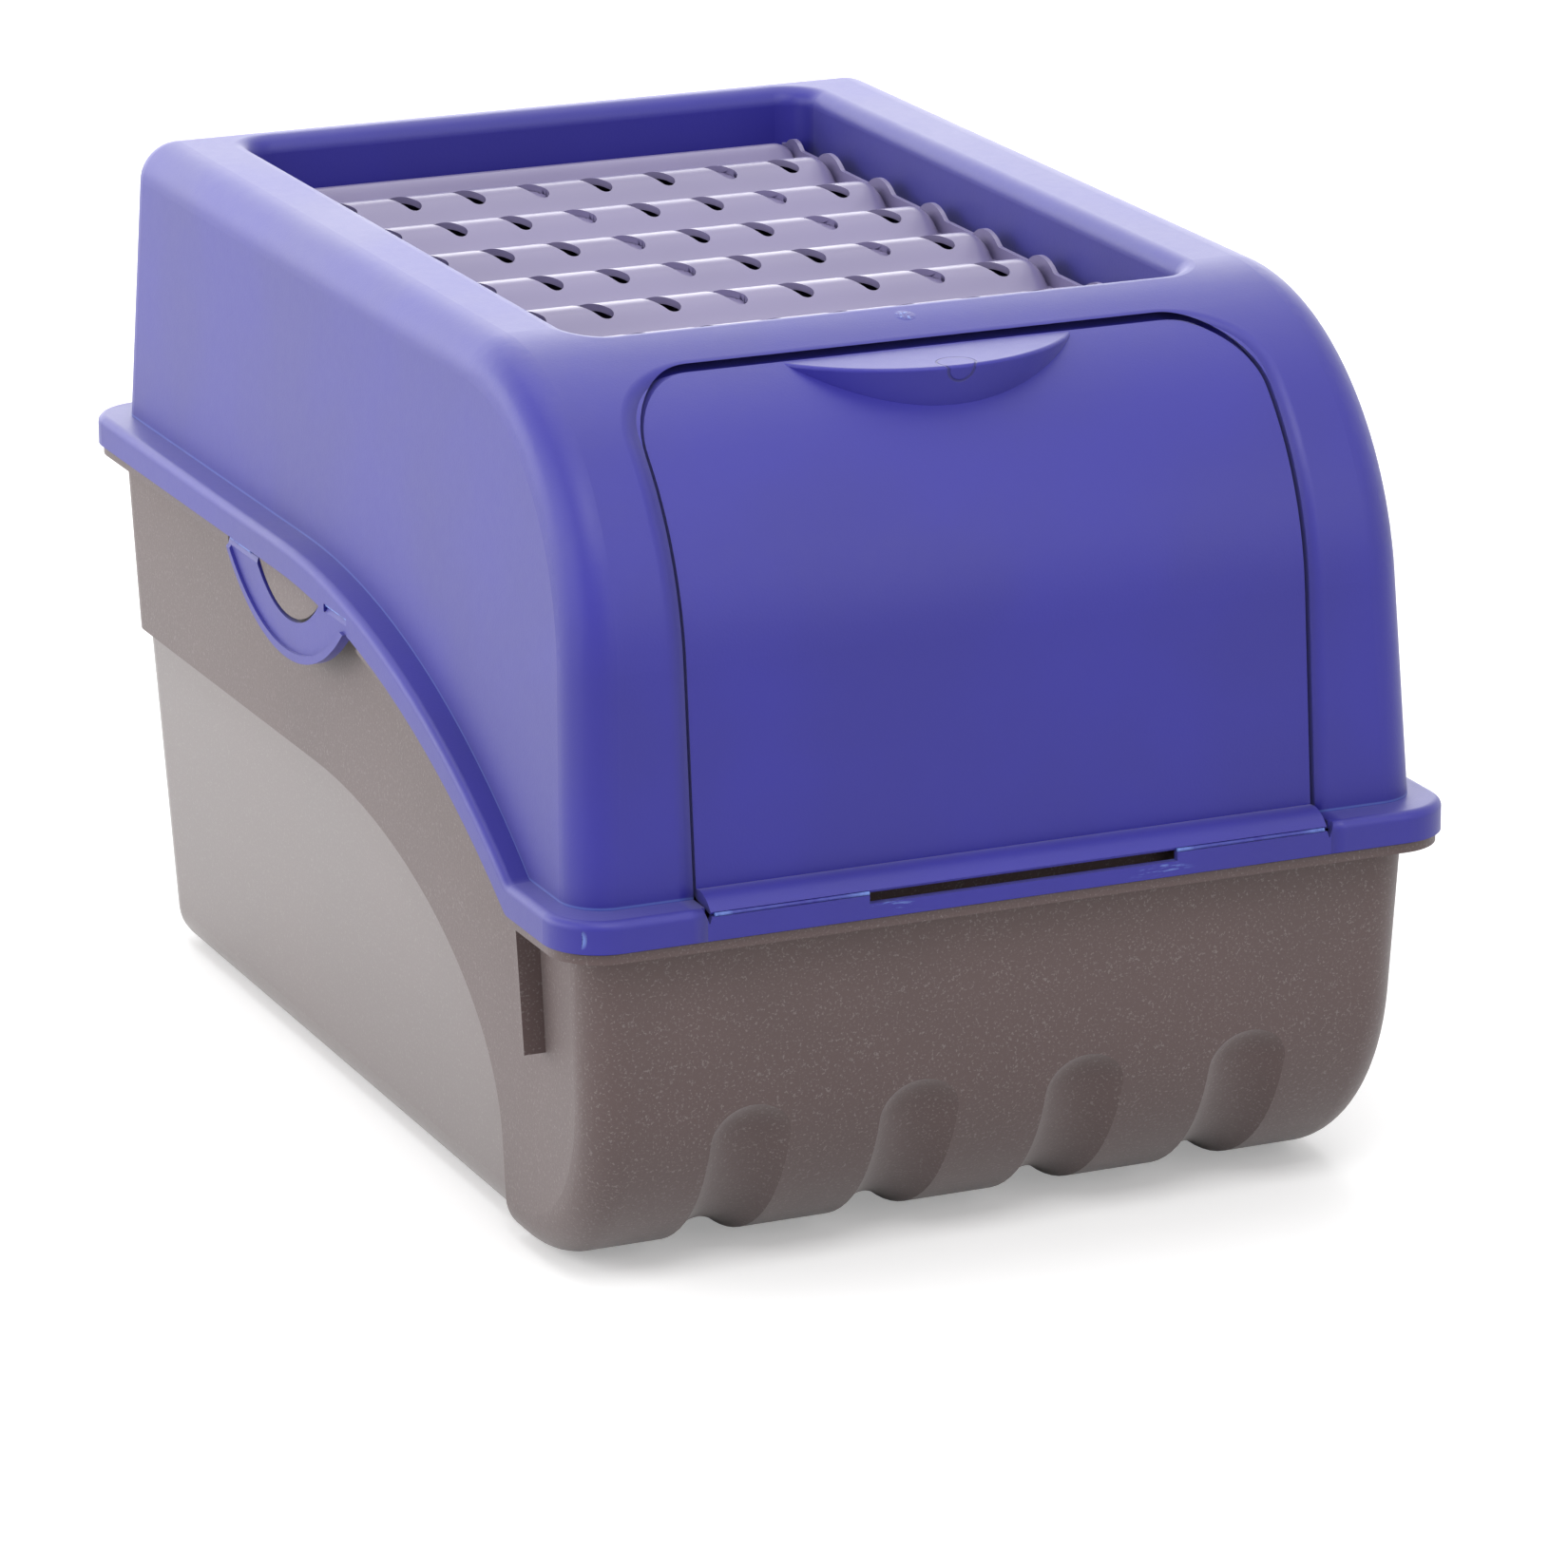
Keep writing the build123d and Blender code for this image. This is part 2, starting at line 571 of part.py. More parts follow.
def tub_block(half_width, datum_z, draft, inset=0.0, back_step=0.0):
    """Solid form of the tub, or that form shrunk by inset, with its back moved in by back_step."""
    lean = radians(TUB_FRONT_LEAN)
    radius = TUB_FRONT_RADIUS - inset
    tangent = (TUB_CURVE_Y - radius * cos(lean), TUB_FRONT_RADIUS - radius * sin(lean))
    half = radians(90 + TUB_FRONT_LEAN) / 2
    on_curve = (TUB_CURVE_Y - radius * sin(half), TUB_FRONT_RADIUS - radius * cos(half))
    floor_start = (TUB_CURVE_Y, inset)
    back_slope = tan(radians(TUB_BACK_LEAN))
    back_foot = BACK - TUB_BACK_LEDGE - back_step - inset / cos(radians(TUB_BACK_LEAN)) - REAR_RIM_Z * back_slope
    top = HEIGHT
    front_top = (tangent[0] - (top - tangent[1]) * tan(lean), top)
    with BuildSketch(Plane.YZ) as side:
        with BuildLine():
            ThreePointArc(floor_start, on_curve, tangent)
            Polyline(
                tangent,
                front_top,
                (back_foot + top * back_slope, top),
                (back_foot + inset * back_slope, inset),
                floor_start,
            )
        make_face()
    block = side_prism(side.sketch) & cross_prism(half_width - inset / cos(radians(draft)), datum_z, draft)

    def rounded(edge):
        if edge.center().Z > top - 1:
            return False
        across = abs(edge.tangent_at(0.5).X) > 0.9
        return not across or edge.center().Y > 0

    return round_edges(block, TUB_EDGE_ROUND - inset, rounded)


def band_block(inset=0.0):
    return tub_block(TUB_HALF_WIDTH, REAR_RIM_Z, TUB_DRAFT, inset)


def panel_block(inset=0.0):
    return tub_block(PANEL_HALF_WIDTH, PANEL_TOP_Z, PANEL_DRAFT, inset, PANEL_STEP)


def panel_region(grow=0.0):
    """Part of the sides and back that lies inside the band, grown by grow."""
    front = FRONT + PANEL_FRONT - grow
    top = PANEL_TOP_Z + grow
    depth = PANEL_CURVE_DEPTH
    height = PANEL_CURVE_HEIGHT
    with BuildSketch(Plane.YZ) as side:
        with BuildLine():
            EllipticalCenterArc((front + depth, top - height), depth, height, QUARTER, arc_size=QUARTER)
            Polyline((front, top - height), (front, -REACH), (REACH, -REACH), (REACH, top), (front + depth, top))
        make_face()
    return side_prism(side.sketch)


def flute_form(x, grow=0.0):
    """Groove that starts with a round end on the front curve and runs back under the floor."""
    radius = FLUTE_RADIUS + grow
    path = TUB_FRONT_RADIUS + FLUTE_RADIUS - FLUTE_DEPTH
    back_y = BACK - FLUTE_BACK_MARGIN
    low_z = TUB_FRONT_RADIUS - path
    section = Plane(origin=(x, TUB_CURVE_Y, low_z), x_dir=(1, 0, 0), z_dir=(0, 1, 0)) * Circle(radius)
    axis = Axis((x, TUB_CURVE_Y, TUB_FRONT_RADIUS), (1, 0, 0))
    angle = radians(FLUTE_TOP_ANGLE)
    top_end = (x, TUB_CURVE_Y - path * cos(angle), TUB_FRONT_RADIUS - path * sin(angle))
    flute = revolve(section, axis, FLUTE_TOP_ANGLE - 90)
    flute += extrude(section, back_y - TUB_CURVE_Y)
    return flute + Pos(*top_end) * Sphere(radius)


def side_ribs():
    """Upright rib on each side, right across the tub before it is hollowed."""
    top = FRONT_RIM_Z - LIP_GAP - LIP_THICKNESS / 2
    top_x = HALF_WIDTH - RIB_TOP_INSET
    foot_x = HALF_WIDTH - RIB_FOOT_INSET
    section = Polyline(
        (-foot_x, RIB_BOTTOM_Z), (foot_x, RIB_BOTTOM_Z), (top_x, top), (-top_x, top), close=True
    )
    rib = extrude(Plane.XZ * make_face(section), RIB_THICKNESS / 2, both=True)
    return Pos(0, FRONT + RIB_SETBACK, 0) * rib


def latch_bosses():
    """Wedges that the latches snap over, right across the tub before it is hollowed."""
    top = LATCH_FACE - BOSS_TOP_SINK
    foot = LATCH_FACE - BOSS_FOOT_SINK
    low_z = REAR_RIM_Z - LATCH_HOLE_DROP
    section = Polyline((-foot, low_z), (foot, low_z), (top, REAR_RIM_Z), (-top, REAR_RIM_Z), close=True)
    wedge = extrude(Plane.XZ * make_face(section), REACH / 2, both=True)
    outline = latch_outline(LATCH_HOLE_HALF - BOSS_GAP, LATCH_HOLE_DROP - BOSS_GAP, -REACH / 2, REACH / 2)
    return wedge & outline & below_rim(-LIP_GAP)


def build_tub():
    body = band_block() - (panel_region() - panel_block())
    body &= below_rim(FLANGE_HEIGHT - WALL)
    lip_prism = plan_prism(
        HALF_WIDTH - LIP_INSET, FRONT + LIP_INSET, BACK - LIP_INSET, FLANGE_CORNER - LIP_INSET
    )
    lip = lip_prism & rim_band(-LIP_GAP - LIP_THICKNESS, -LIP_GAP)
    latch_end = LATCH_HALF_LENGTH + 2 * CLEARANCE
    lip -= latch_window(LATCH_Y - latch_end, LATCH_Y + latch_end, REAR_RIM_Z)
    tub = body + lip + side_ribs() + latch_bosses()

    flute_xs = [(i - (FLUTE_COUNT - 1) / 2) * FLUTE_PITCH for i in range(FLUTE_COUNT)]
    cavity = band_block(WALL) - (panel_region(WALL) - panel_block(WALL))
    for x in flute_xs:
        cavity -= flute_form(x, WALL)
        tub -= flute_form(x)
    return tub - cavity


# ---------------------------------------------------------------- side latches
def above_latch_axis():
    """Room kept free round the hinge axis so that the latch can fold up."""
    keep = FILM_RADIUS + FILM_GAP
    outline = Polyline(
        (LATCH_AXIS_X - REACH, LATCH_AXIS_Z - keep),
        (LATCH_AXIS_X - keep / 2, LATCH_AXIS_Z - keep),
        (LATCH_FACE, LATCH_AXIS_Z - 3 * keep),
        (LATCH_FACE + 2 * LATCH_RIM_RAISE, LATCH_AXIS_Z - 5 * keep),
        (LATCH_FACE + 2 * LATCH_RIM_RAISE, LATCH_AXIS_Z + REACH),
        (LATCH_AXIS_X - REACH, LATCH_AXIS_Z + REACH),
        close=True,
    )
    return extrude(Plane.XZ * make_face(outline), REACH / 2, both=True)


def build_latch():
    """Latch of the right side."""
    inner = LATCH_FACE - LATCH_PLATE
    outer = LATCH_FACE + LATCH_RIM_RAISE
    whole = latch_outline(LATCH_HALF_LENGTH, LATCH_DROP, inner, outer)
    whole -= latch_outline(
        LATCH_HALF_LENGTH - LATCH_RIM_WIDTH, LATCH_DROP - LATCH_RIM_WIDTH, LATCH_FACE, outer
    )
    hole = latch_outline(LATCH_HOLE_HALF, LATCH_HOLE_DROP, inner, outer)
    latch = (whole & below_rim(-LATCH_GAP)) - hole
    for start, end in LATCH_TABS:
        tab = Box(LATCH_PLATE, end - start, LATCH_DROP / 2)
        tab = Pos(inner + LATCH_PLATE / 2, (start + end) / 2, REAR_RIM_Z - LATCH_DROP / 4) * tab
        latch += (tab & whole) - hole
    return latch - above_latch_axis()


# ---------------------------------------------------------------- export
def build_parts():
    latch_right = build_latch()
    parts = {
        "storage_tub": build_tub(),
        "hood": build_hood(),
        "vent_tray": build_tray(),
        "front_flap": build_flap(),
        "latch_right": latch_right,
        "latch_left": mirror(latch_right, about=Plane.YZ),
    }
    film_length = HINGE_HALF_LENGTH - HINGE_SLOT_HALF
    film_x = (HINGE_HALF_LENGTH + HINGE_SLOT_HALF) / 2
    for side, sign in (("left", -1), ("right", 1)):
        parts[f"flap_film_hinge_{side}"] = build_film(film_length, (sign * film_x, HINGE_Y, HINGE_Z), (0, 90, 0))
        for place, (start, end) in zip(("front", "rear"), LATCH_TABS):
            middle = (sign * LATCH_AXIS_X, (start + end) / 2, LATCH_AXIS_Z)
            parts[f"latch_film_hinge_{side}_{place}"] = build_film(end - start, middle, (90, 0, 0))
    return parts


if __name__ == "__main__":
    os.makedirs("parts", exist_ok=True)
    for name, solid in build_parts().items():
        export_step(solid, f"parts/{name}.step")
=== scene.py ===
"""Visual model of a potato storage bin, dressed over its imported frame."""

import math

import bmesh
import bpy
from bpy.props import FloatProperty, FloatVectorProperty, IntProperty, PointerProperty
from mathutils import Matrix, Vector


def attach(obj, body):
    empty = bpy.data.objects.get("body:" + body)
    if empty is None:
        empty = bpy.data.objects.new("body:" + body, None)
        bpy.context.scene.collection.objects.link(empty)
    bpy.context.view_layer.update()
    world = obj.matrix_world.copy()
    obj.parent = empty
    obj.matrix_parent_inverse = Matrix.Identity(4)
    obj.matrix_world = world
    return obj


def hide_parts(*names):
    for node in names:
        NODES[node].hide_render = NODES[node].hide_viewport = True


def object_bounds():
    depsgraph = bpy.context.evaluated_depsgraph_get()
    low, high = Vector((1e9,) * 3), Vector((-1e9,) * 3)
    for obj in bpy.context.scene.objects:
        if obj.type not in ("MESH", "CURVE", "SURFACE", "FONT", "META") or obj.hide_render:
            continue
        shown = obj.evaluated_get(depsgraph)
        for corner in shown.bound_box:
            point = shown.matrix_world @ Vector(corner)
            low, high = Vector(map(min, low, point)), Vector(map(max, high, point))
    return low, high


bl_info = {
    "name": "Potato storage bin",
    "version": (1, 0, 0),
    "blender": (4, 5, 0),
    "location": "View3D > Sidebar > Storage bin",
    "description": "Dresses the tub, hood, flap, vent tray and latches, and sets up the studio",
    "category": "Object",
}

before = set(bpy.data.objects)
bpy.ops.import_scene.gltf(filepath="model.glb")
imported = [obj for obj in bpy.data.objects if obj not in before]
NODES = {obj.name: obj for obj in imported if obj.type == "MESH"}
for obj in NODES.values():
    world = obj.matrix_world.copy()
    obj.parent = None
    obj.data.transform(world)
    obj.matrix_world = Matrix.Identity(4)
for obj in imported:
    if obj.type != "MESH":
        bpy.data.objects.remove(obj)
CAD_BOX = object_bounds()
ROOT = "bin_body"


# ------------------------------------------------------------------ node helpers
class Wire:
    """A socket that can be used in sums."""

    def __init__(self, tree, socket):
        self.tree = tree
        self.socket = socket

    def math(self, operation, *values):
        node = self.tree.nodes.new("ShaderNodeMath")
        node.operation = operation
        for slot, value in zip(node.inputs, values):
            if isinstance(value, Wire):
                self.tree.links.new(value.socket, slot)
            else:
                slot.default_value = value
        return Wire(self.tree, node.outputs[0])

    def __add__(self, other):
        return self.math("ADD", self, other)

    __radd__ = __add__

    def __sub__(self, other):
        return self.math("SUBTRACT", self, other)

    def __rsub__(self, other):
        return self.math("SUBTRACT", other, self)

    def __mul__(self, other):
        return self.math("MULTIPLY", self, other)

    __rmul__ = __mul__

    def __truediv__(self, other):
        return self.math("DIVIDE", self, other)

    def __abs__(self):
        return self.math("ABSOLUTE", self)

    def __pow__(self, other):
        return self.math("POWER", self, other)

    def __gt__(self, other):
        return self.math("GREATER_THAN", self, other)

    def __lt__(self, other):
        return self.math("LESS_THAN", self, other)

    def root(self):
        positive = self.at_least(0.0)
        return positive.math("SQRT", positive)

    def cosine(self):
        return self.math("COSINE", self)

    def angle_from(self, other):
        return self.math("ARCTAN2", self, other)

    def at_least(self, other):
        return self.math("MAXIMUM", self, other)

    def at_most(self, other):
        return self.math("MINIMUM", self, other)

    def soft_at_least(self, other, softness):
        return self.math("SMOOTH_MAX", self, other, softness)

    def held(self, low, high):
        return self.at_least(low).at_most(high)

    def folded(self, width):
        """Runs up to the width and back again, over and over."""
        return self.math("PINGPONG", self, width)

    def ramp(self, start, end):
        """0 at start, 1 at end, eased between; start may be above end."""
        share = ((self - start) / (end - start)).held(0.0, 1.0)
        return share * share * (3.0 - 2.0 * share)


class Graph:
    """Adds nodes to a tree; every node but a Math node comes from node()."""

    def __init__(self, tree):
        self.tree = tree
        tree.nodes.clear()

    def node(self, kind, settings=None, sockets=None):
        """A new node with its settings, and its sockets set or linked by name or index."""
        node = self.tree.nodes.new(kind)
        for name, value in (settings or {}).items():
            setattr(node, name, value)
        for name, value in (sockets or {}).items():
            for item in value if isinstance(value, list) else [value]:
                if isinstance(item, Wire):
                    self.tree.links.new(item.socket, node.inputs[name])
                else:
                    node.inputs[name].default_value = item
        return node

    def wire(self, kind, settings=None, sockets=None, output=0):
        """The same, handing back one of the node's outputs."""
        return Wire(self.tree, self.node(kind, settings, sockets).outputs[output])

    def split(self, vector):
        node = self.node("ShaderNodeSeparateXYZ", None, {0: vector})
        return [Wire(self.tree, socket) for socket in node.outputs]

    def join(self, x, y, z):
        return self.wire("ShaderNodeCombineXYZ", None, {0: x, 1: y, 2: z})


class Moulding(Graph):
    """A material for moulded plastic, patterned on the object's own metres."""

    def __init__(self, name):
        self.material = bpy.data.materials.new(name)
        self.material.use_nodes = True
        super().__init__(self.material.node_tree)
        self.place = self.wire("ShaderNodeTexCoord", output="Object")
        self.x, self.y, self.z = self.split(self.place)
        self.facing = self.split(self.wire("ShaderNodeNewGeometry", output="True Normal"))

    def noise(self, size, detail=2.0, roughness=0.5, stretch=(1.0, 1.0, 1.0)):
        place = self.wire("ShaderNodeMapping", None, {"Vector": self.place, "Scale": stretch})
        sockets = {"Vector": place, "Scale": 1 / size, "Detail": detail, "Roughness": roughness}
        return self.wire("ShaderNodeTexNoise", None, sockets)

    def distance(self, point):
        settings = {"operation": "DISTANCE"}
        return self.wire("ShaderNodeVectorMath", settings, {0: self.place, 1: point}, "Value")

    def blend(self, share, first, second):
        """Mix of two colours; each may be a Wire."""
        sockets = {0: share, 6: first, 7: second}
        return self.wire("ShaderNodeMix", {"data_type": "RGBA"}, sockets, 2)

    def finish(self, colour, roughness, relief, coat=0.0, sheen=0.0):
        """Closes the material; relief is the height of the surface in metres."""
        bump = self.wire("ShaderNodeBump", None, {"Height": relief, "Distance": 1.0})
        sockets = {
            "Base Color": colour,
            "Roughness": roughness,
            "IOR": 1.5,
            "Coat Weight": coat,
            "Coat Roughness": 0.35,
            "Sheen Weight": sheen,
            "Sheen Roughness": 0.5,
            "Normal": bump,
        }
        shader = self.wire("ShaderNodeBsdfPrincipled", None, sockets)
        self.node("ShaderNodeOutputMaterial", None, {"Surface": shader})
        return self.material


def shade(colour, factor):
    """A colour made lighter or darker."""
    return tuple(channel * factor for channel in colour[:3]) + (1.0,)


# ------------------------------------------------------------------ settings
def colour_property(name, description, default):
    return FloatVectorProperty(
        name=name, description=description, subtype="COLOR", size=4, min=0, max=1, default=default + (1.0,)
    )


def length_property(name, description, default):
    return FloatProperty(name=name, description=description, unit="LENGTH", default=default, precision=6)


def share_property(name, description, default):
    return FloatProperty(
        name=name, description=description, subtype="FACTOR", min=0, max=1, default=default
    )


def angle_property(name, description, degrees):
    return FloatProperty(
        name=name, description=description, subtype="ANGLE", default=math.radians(degrees)
    )


def power_property(name, description, default):
    return FloatProperty(name=name, description=description, unit="POWER", default=default)


class BlueFinish(bpy.types.PropertyGroup):
    colour: colour_property("Plastic", "Colour of the hood, flap and latches", (0.0135, 0.0100, 0.228))
    # the pale blue also serves as the painted highlight along the crease over the flange
    pale: colour_property(
        "Worked plastic", "Paler blue where the plastic was bent or scuffed", (0.16, 0.27, 0.66)
    )
    roughness: share_property("Roughness", "Roughness of the matt plastic", 0.46)
    sheen: share_property("Sheen", "Pale bloom of the fine texture at a flat angle", 0.2)
    grain_size: length_property("Grain", "Size of the spark texture", 0.0007)
    grain_depth: length_property("Grain depth", "Depth of the spark texture", 0.00003)
    door_half_width: length_property("Doorway", "Half width of the doorway in the hood", 0.0911)
    door_corner: length_property("Doorway corner", "Radius of its upper corners along the skin", 0.024)
    door_roll: length_property("Doorway roll", "Width of the rounded edge of the doorway", 0.0045)
    door_roll_depth: length_property("Roll depth", "Depth of that rounded edge", 0.0022)
    curve_y: length_property("Curve Y", "Axis of the big front curve", -0.0963)
    curve_z: length_property("Curve Z", "Axis of the big front curve", 0.1678)
    curve_radius: length_property("Curve radius", "Radius of the big front curve", 0.080)
    door_top_angle: angle_property("Doorway top", "Place of the doorway's top on that curve", 66.3)


class TubFinish(bpy.types.PropertyGroup):
    colour: colour_property("Plastic", "Colour of the tub", (0.078, 0.048, 0.046))
    speckle: colour_property("Speckle", "Colour of the pale specks", (0.22, 0.19, 0.185))
    roughness: share_property("Roughness", "Roughness of the textured walls", 0.55)
    sheen: share_property("Sheen", "Pale bloom of the texture at a flat angle", 0.3)
    panel_coat: share_property("Panel gloss", "Smoother skin of the sunken side panels", 0.8)
    speckle_size: length_property("Speckle size", "Size of the pale specks", 0.0008)
    grain_depth: length_property("Grain depth", "Depth of the moulded grain", 0.00005)
    panel_top: length_property("Panel top", "Height of the panel's level top", 0.0988)
    panel_front: length_property("Panel front", "Y of the panel's front edge", -0.1125)
    panel_depth: length_property("Panel curve depth", "Half axis of its corner ellipse", 0.133)
    panel_height: length_property("Panel curve height", "Half axis of its corner ellipse", 0.070)


class TrayForm(bpy.types.PropertyGroup):
    colour: colour_property("Plastic", "Colour of the tray", (0.20, 0.175, 0.31))
    roughness: share_property("Roughness", "Roughness of the tray", 0.3)
    edge: length_property("Edge", "Half width of the tray over its rims", 0.0847)
    front: length_property("Front", "Y of the front edge", -0.1032)
    back: length_property("Back", "Y of the back edge", 0.1582)
    plate_top: length_property("Plate top", "Height of the plate between the ribs", 0.2272)
    plate: length_property("Plate", "Thickness of the plate", 0.002)
    pitch: length_property("Rib pitch", "Distance between the ribs", 0.0368)
    first_rib: length_property("First rib", "Y of the rearmost rib with vents", 0.123)
    ribs: IntProperty(name="Ribs", description="Number of ribs with vents", subtype="UNSIGNED", default=6)
    rib_height: length_property("Rib height", "Crest above the plate", 0.0071)
    rib_end: length_property("Rib end", "How fast a rib rises from its round end", 0.007)
    back_rib_height: length_property("Back rib", "Height of the plain rib at the back", 0.006)
    rim_wall: length_property("Rim wall", "Thickness of the upright rims", 0.0014)
    rim_height: length_property("Rim height", "Rims above the plate between the ribs", 0.0041)
    rim_top: length_property("Rim top", "Rims above the plate at a rib", 0.0074)
    arch_radius: length_property("Arch radius", "Radius of the rim's arch over a rib", 0.013)
    back_arch_radius: length_property("Back arch", "Radius of the arch at the plain rib", 0.0075)
    vents: IntProperty(name="Vents", description="Vents in each rib", subtype="UNSIGNED", default=8)
    vent_pitch: length_property("Vent pitch", "Distance between the vents", 0.0201)
    vent_shift: length_property("Vent shift", "Middle of the vents left of the middle of the tray", 0.005)
    vent_slant: angle_property("Vent slant", "Turn of a vent from the line across the rib", 33.0)
    vent_width: length_property("Vent width", "Width of a vent", 0.0048)
    vent_length: length_property("Vent length", "Length of a vent over its round ends", 0.017)


class Studio(bpy.types.PropertyGroup):
    camera_place: FloatVectorProperty(
        name="Camera", description="Place of the camera", subtype="XYZ", unit="LENGTH",
        default=(-0.8235, -1.9181, 0.7254),
    )
    yaw: angle_property("Yaw", "Turn of the camera from straight ahead", 23.587)
    pitch: angle_property("Pitch", "Downward tilt of the camera", 17.127)
    roll: angle_property("Roll", "Roll of the camera", -0.258)
    lens: FloatProperty(
        name="Lens", description="Focal length in millimetres", unit="CAMERA", default=174.545
    )
    left_light: power_property("Left", "Power of the big light on the left", 15.0)
    top_light: power_property("Top", "Power of the light overhead", 13.0)
    front_light: power_property("Front", "Power of the light beside the camera", 8.0)
    brow_light: power_property("Brow", "Power of the light above the front", 18.0)
    back_light: power_property("Back", "Power of the wide light behind", 42.0)
    rear_left_light: power_property("Rear left", "Power of the light behind on the left", 28.0)
    ambient: FloatProperty(name="Ambient", description="Strength of the room light", default=0.35)
    mirror: FloatProperty(name="Mirrored", description="Strength of the room in reflections", default=1.5)
    floor_glow: FloatProperty(name="Floor glow", description="Lift of the floor to white", default=0.3)


# ------------------------------------------------------------------ materials
# sizes of the patterns, in metres
HOOD_CLOUD = 0.06
HOOD_WEAR = 0.004
TUB_CLOUD = 0.08
TRAY_CLOUD = 0.05
TRAY_GRAIN = 0.0012
TRAY_GRAIN_DEPTH = 0.00001
FILM_STREAK = 0.003
CRUMB_SIZE = 0.0011
SCRATCH_SIZE = 0.0016

# closing line of the hood: level behind LEVEL_Y, falling on an arc in front of it
LEVEL_Y = 0.0230
FALL_RUN = 0.1715
FALL_RADIUS = 0.3149
FLANGE_TOP = 0.1640
# CREASE_LIFT: height of the painted highlight's line above the flange
CREASE_LIFT = 0.0004

# small marks on the hood and the flap
GATE_MARK = (0.0, -0.1145, 0.2458)
GATE_DEPTH = 0.0007
CORNER_LINE = (-0.1245, -0.1845, 0.1085)
CORNER_LINE_DEPTH = 0.0004
SLOT_END_X = 0.040
SCUFF_Z = 0.1075
FRONT_Y = -0.18
GRIP_MARK = (0.0, -0.1470, 0.2402)
GRIP_MARK_RADIUS = 0.0052
GRIP_MARK_DEPTH = 0.0002

# film hinges of the flap: the two webs start beside the slot and end at the flap's edges
FLAP_FILM_Y = -0.17
FLAP_FILM_MIDDLE = 0.067


def blue_plastic(name, settings, details=None):
    """Matt blue moulded plastic with a fine spark texture."""
    plastic = Moulding(name)
    grain = plastic.noise(settings.grain_size, 3.0, 0.6)
    cloud = plastic.noise(HOOD_CLOUD)
    worn = plastic.noise(HOOD_WEAR, 4.0, 0.65)
    colour = plastic.blend(cloud.ramp(0.35, 0.65), tuple(settings.colour), shade(settings.colour, 1.12))
    roughness = settings.roughness + (cloud - 0.5) * 0.08 + (worn - 0.5) * 0.08
    relief = grain * settings.grain_depth
    if details:
        colour, relief = details(plastic, settings, colour, relief)
    return plastic.finish(colour, roughness, relief, sheen=settings.sheen)


def hood_details(plastic, settings, colour, relief):
    """Rolled edge of the doorway, the gate's mould mark, a pale line in the flange's front corner, a
    painted highlight along the crease line and scuffs on the hood.
    """
    # rolled edge, by distance from the doorway's outline along the skin
    turn = (plastic.z - settings.curve_z).angle_from(settings.curve_y - plastic.y)
    beyond_top = (turn - settings.door_top_angle) * settings.curve_radius + settings.door_corner
    beyond_side = abs(plastic.x) - (settings.door_half_width - settings.door_corner)
    corner = (beyond_side.at_least(0.0) ** 2.0 + beyond_top.at_least(0.0) ** 2.0).root()
    away = corner + beyond_side.at_least(beyond_top).at_most(0.0) - settings.door_corner
    roll = (1.0 - away / settings.door_roll).held(0.0, 1.0)
    relief = relief - roll * roll * settings.door_roll_depth

    # painted highlight: a thin pale line on the fillet where the walls meet the flange, where light
    # catches it
    run = (LEVEL_Y - plastic.y).held(0.0, FALL_RUN)
    drop = FALL_RADIUS - (FALL_RADIUS * FALL_RADIUS - run * run).root()
    above = plastic.z - FLANGE_TOP + drop
    upright = abs(plastic.facing[2]) < 0.5
    painted_crease_highlight = abs(above - CREASE_LIFT).ramp(0.0005, 0.0001) * upright
    # the painted highlight takes the pale blue of the worked plastic
    colour = plastic.blend(painted_crease_highlight * 0.35, colour, tuple(settings.pale))

    # gate mark on the top, a thin pale upright line with a shallow groove in the flange's front corner
    gate = plastic.distance(GATE_MARK).ramp(0.0032, 0.0012)
    crumbs = plastic.noise(CRUMB_SIZE, 3.0, 0.7)
    relief = relief + gate * crumbs * GATE_DEPTH
    colour = plastic.blend(gate * crumbs.ramp(0.5, 0.62), colour, tuple(settings.pale))
    corner_line = plastic.distance(CORNER_LINE).ramp(0.0042, 0.0030)
    corner_line = corner_line * abs(plastic.x - CORNER_LINE[0] + (crumbs - 0.5) * 0.001).ramp(0.0007, 0.0003)
    colour = plastic.blend(corner_line * 0.7, colour, tuple(settings.pale))
    relief = relief - corner_line * CORNER_LINE_DEPTH

    # scuffs on the flange below the ends of the slot
    scratch = plastic.noise(SCRATCH_SIZE, 3.0, 0.7, (0.25, 1.0, 1.6))
    low = abs(plastic.z - SCUFF_Z).ramp(0.0028, 0.0008)
    ends = abs(abs(plastic.x) - SLOT_END_X).ramp(0.012, 0.002)
    scuff = scratch.ramp(0.55, 0.68) * low * ends * (plastic.y < FRONT_Y)
    colour = plastic.blend(scuff * 0.5, colour, tuple(settings.pale))
    return colour, relief


def flap_details(plastic, settings, colour, relief):
    """Round gate mark on top of the grip."""
    ring = abs(plastic.distance(GRIP_MARK) - GRIP_MARK_RADIUS).ramp(0.0004, 0.0001)
    relief = relief - ring * GRIP_MARK_DEPTH
    colour = plastic.blend(ring * 0.6, colour, shade(settings.colour, 0.3))
    return colour, relief


def film_plastic(settings):
    """Thin webs, paler where they were bent hardest."""
    plastic = Moulding("film_plastic")
    streak = plastic.noise(FILM_STREAK, 3.0, 0.6, (1.0, 1.0, 0.3))
    front = plastic.y < FLAP_FILM_Y
    ends = abs(abs(plastic.x) - FLAP_FILM_MIDDLE).ramp(0.014, 0.022)
    worked = (1.0 - front + front * (0.15 + 0.85 * ends)) * streak.ramp(0.25, 0.6)
    colour = plastic.blend(worked * 0.8, tuple(settings.colour), tuple(settings.pale))
    return plastic.finish(colour, 0.4, streak * settings.grain_depth)


